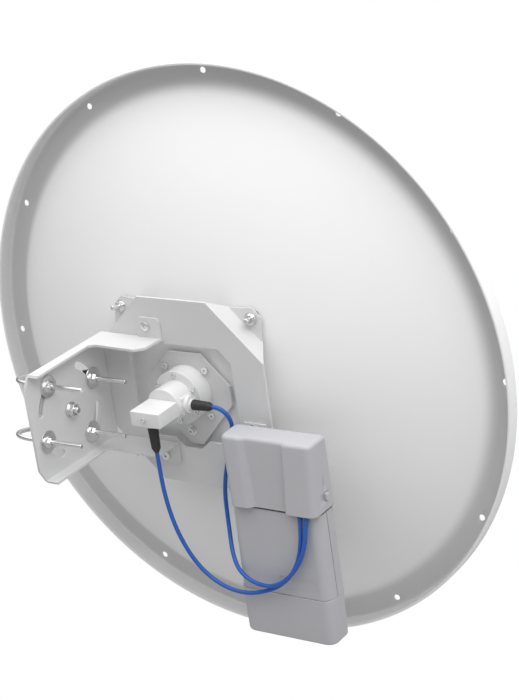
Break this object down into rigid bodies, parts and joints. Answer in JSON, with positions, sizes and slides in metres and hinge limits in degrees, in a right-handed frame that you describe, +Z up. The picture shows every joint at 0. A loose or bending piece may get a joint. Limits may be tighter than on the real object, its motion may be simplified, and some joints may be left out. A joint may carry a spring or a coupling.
{
  "type": "outdoor wireless bridge",
  "caption": "Outdoor wireless bridge: a tilting parabolic dish on a mast clamp, with a dual-port feed, a radio box behind it and coaxial jumpers.",
  "frame": {"origin": "on the mast axis, level with the elevation pivot", "axes": "+Z up along the mast, +Y the level heading of the dish, +X sideways from the mast to the dish and along the pivot bolt"},
  "size_m": [0.728, 0.439, 0.7071],
  "materials": {
    "white_steel": "white powder coat, satin",
    "dish_coat": "white powder coat on spun aluminium, satin",
    "bright_zinc": "bright zinc plated steel",
    "grey_plastic": "moulded, fine texture",
    "white_plastic": "moulded, smooth",
    "white_casting": "smooth white paint on machined aluminium",
    "black_rubber": "matt moulded rubber",
    "blue_jacket": "satin cable jacket",
    "nickel": "nickel plated brass",
    "board_green": "solder mask",
    "tin_can": "tinned sheet",
    "clear_dielectric": "turned dielectric"
  },
  "bodies": {
    "mast_clamp": {"pole_saddle": "bright_zinc", "upper_u_bolt": "bright_zinc", "lower_u_bolt": "bright_zinc", "u_bolt_washers": "bright_zinc", "u_bolt_nuts": "bright_zinc", "pivot_bolt": "bright_zinc", "pivot_washer": "bright_zinc", "pivot_nut": "bright_zinc"},
    "antenna": {"pole_bracket": "white_steel", "bracket_bolts": "bright_zinc", "bracket_nuts": "bright_zinc", "earth_screw": "bright_zinc", "hub_frame": "white_steel", "foot_pads": "black_rubber", "frame_washers": "bright_zinc", "frame_bolts": "bright_zinc", "frame_nuts": "bright_zinc", "reflector_dish": "dish_coat", "feed_plate": "white_steel", "feed_gasket": "black_rubber", "feed_plate_screws": "bright_zinc", "feed_plate_nuts": "bright_zinc", "ground_screw": "bright_zinc", "feed_adapter": "white_casting", "feed_lock_ring": "white_casting", "feed_body": "white_casting", "feed_ring_screws": "bright_zinc", "feed_end_block": "white_casting", "tuning_screw": "bright_zinc", "side_port_jack": "nickel", "bottom_port_jack": "nickel", "feed_tube": "white_casting", "feed_cone": "clear_dielectric", "splash_plate": "tin_can", "feed_radome": "white_plastic", "case_back": "grey_plastic", "case_front": "grey_plastic", "case_gasket": "black_rubber", "circuit_board": "board_green", "board_screws": "bright_zinc", "shield_cans": "tin_can", "network_jack": "nickel", "radio_jacks": "nickel", "radio_bracket": "white_steel", "radio_bracket_bolts": "bright_zinc", "radio_bracket_nuts": "bright_zinc", "radio_screws": "bright_zinc", "side_cable": "blue_jacket", "bottom_cable": "blue_jacket", "side_cable_boot": "black_rubber", "bottom_cable_boot": "black_rubber", "side_cable_plug": "black_rubber", "bottom_cable_plug": "black_rubber"},
    "cable_hood": {"cable_hood": "grey_plastic"},
    "hood_latch": {"hood_latch": "grey_plastic"},
    "bottom_cover": {"bottom_cover": "grey_plastic", "cable_grommet": "black_rubber"}
  },
  "joints": [
    {"name": "elevation", "type": "hinge", "parent": "mast_clamp", "child": "antenna", "pos_m": [0.0405, 0, 0], "axis": [1, 0, 0], "range_deg": [-37, 6.5]},
    {"name": "hood_slide", "type": "slide", "parent": "antenna", "child": "cable_hood", "axis": [0, -0.2639, 0.9646], "range_m": [0, 0.06]},
    {"name": "latch_press", "type": "slide", "parent": "cable_hood", "child": "hood_latch", "axis": [-1, 0, 0], "range_m": [0, 0.0014], "stiffness_N_per_m": 1200},
    {"name": "cover_slide", "type": "slide", "parent": "antenna", "child": "bottom_cover", "axis": [0, 0.2639, -0.9646], "range_m": [0, 0.022]}
  ]
}
